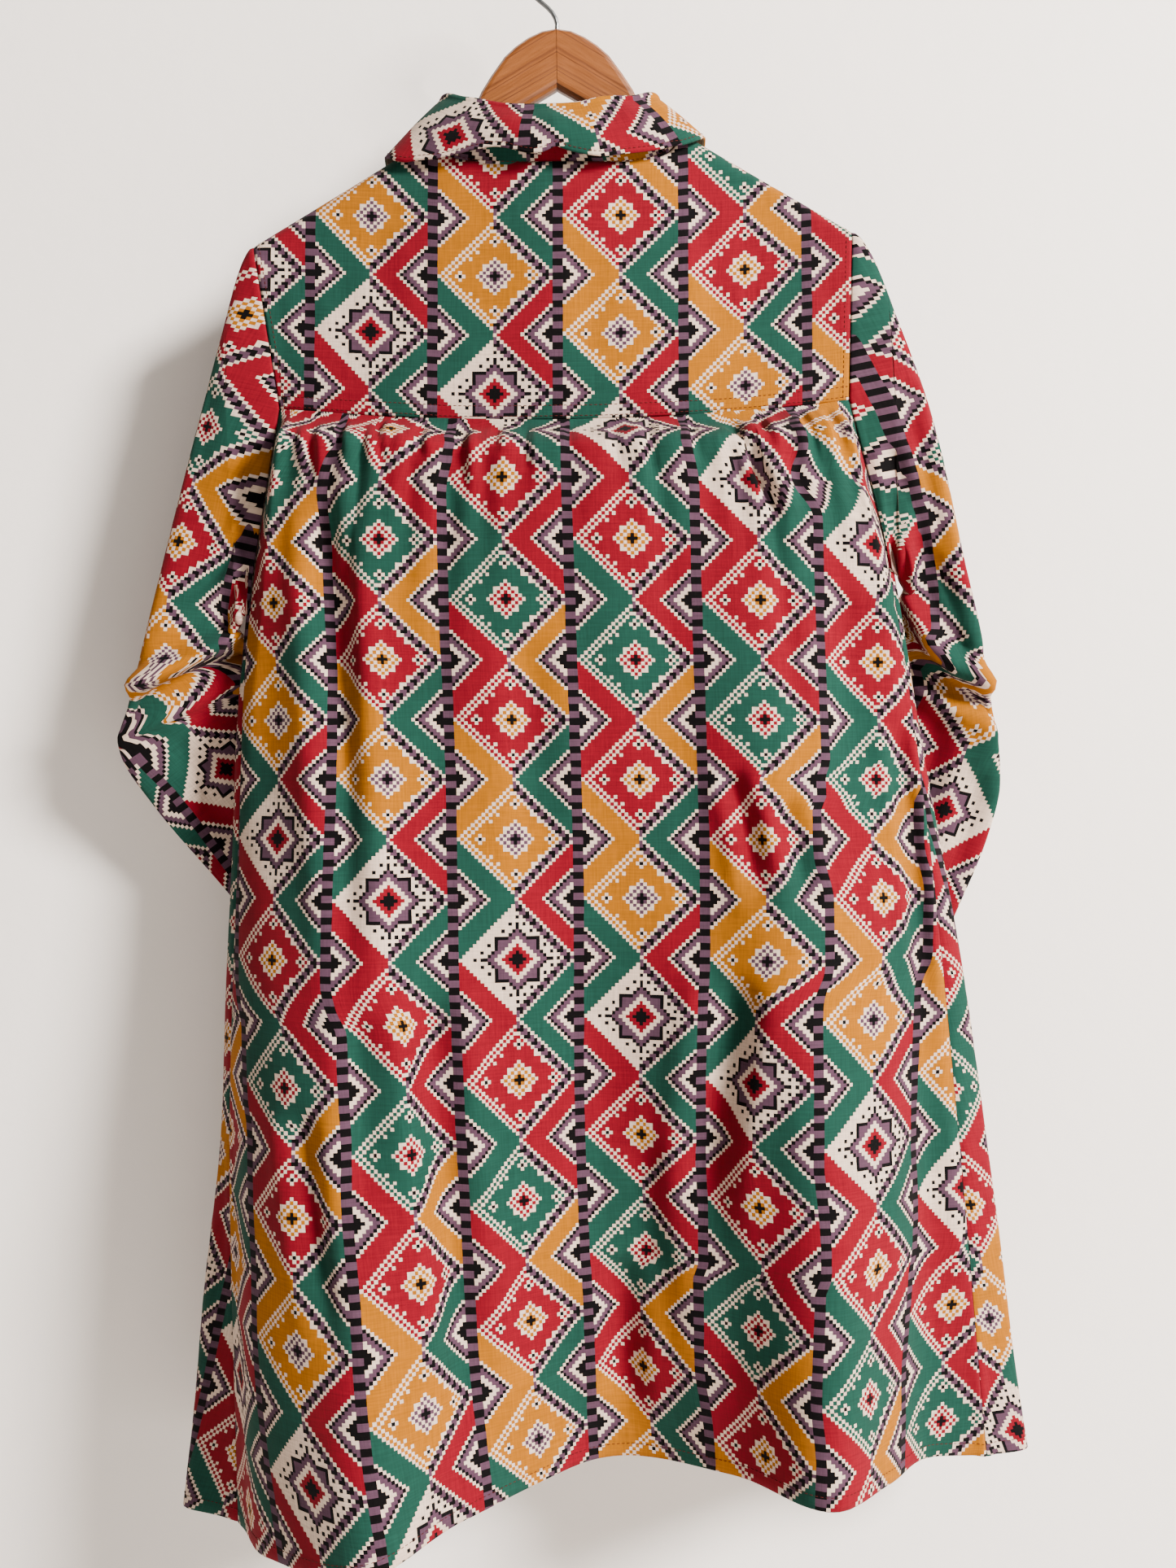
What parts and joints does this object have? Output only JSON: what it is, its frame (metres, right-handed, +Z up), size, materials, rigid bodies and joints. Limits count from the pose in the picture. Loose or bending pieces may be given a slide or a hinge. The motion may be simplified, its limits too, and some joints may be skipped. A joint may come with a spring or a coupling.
{
  "type": "smock shirt on a hanger",
  "caption": "Long flared smock shirt with a gathered back yoke, turned-down collar, long sleeves and buttoned front, hung on a wooden hanger with a wire hook.",
  "frame": {"origin": "inner top of the hanger's hook, where a rail or nail carries it", "axes": "+Z up, -Y the way the shirt's back faces (towards the viewer of the picture), +Y towards its front and the wall, +X to that viewer's right"},
  "size_m": [0.6201, 0.1744, 1.0633],
  "materials": {
    "back_yoke": "matte",
    "back_panel": "matte",
    "front_left": "matte",
    "front_right": "matte",
    "sleeve_left": "matte",
    "sleeve_right": "matte",
    "collar_stand": "matte",
    "collar_fall": "matte",
    "button": "gloss",
    "hanger_wood": "satin",
    "hanger_hook": "satin"
  },
  "bodies": {
    "root": {"back_yoke": "back_yoke", "back_panel": "back_panel", "front_left": "front_left", "front_right": "front_right", "sleeve_left": "sleeve_left", "sleeve_right": "sleeve_right", "collar_stand": "collar_stand", "collar_fall": "collar_fall", "button_1": "button", "button_2": "button", "button_3": "button", "button_4": "button", "button_5": "button", "button_6": "button", "button_7": "button", "hanger_half_left": "hanger_wood", "hanger_half_right": "hanger_wood", "hanger_hook": "hanger_hook"}
  },
  "joints": []
}
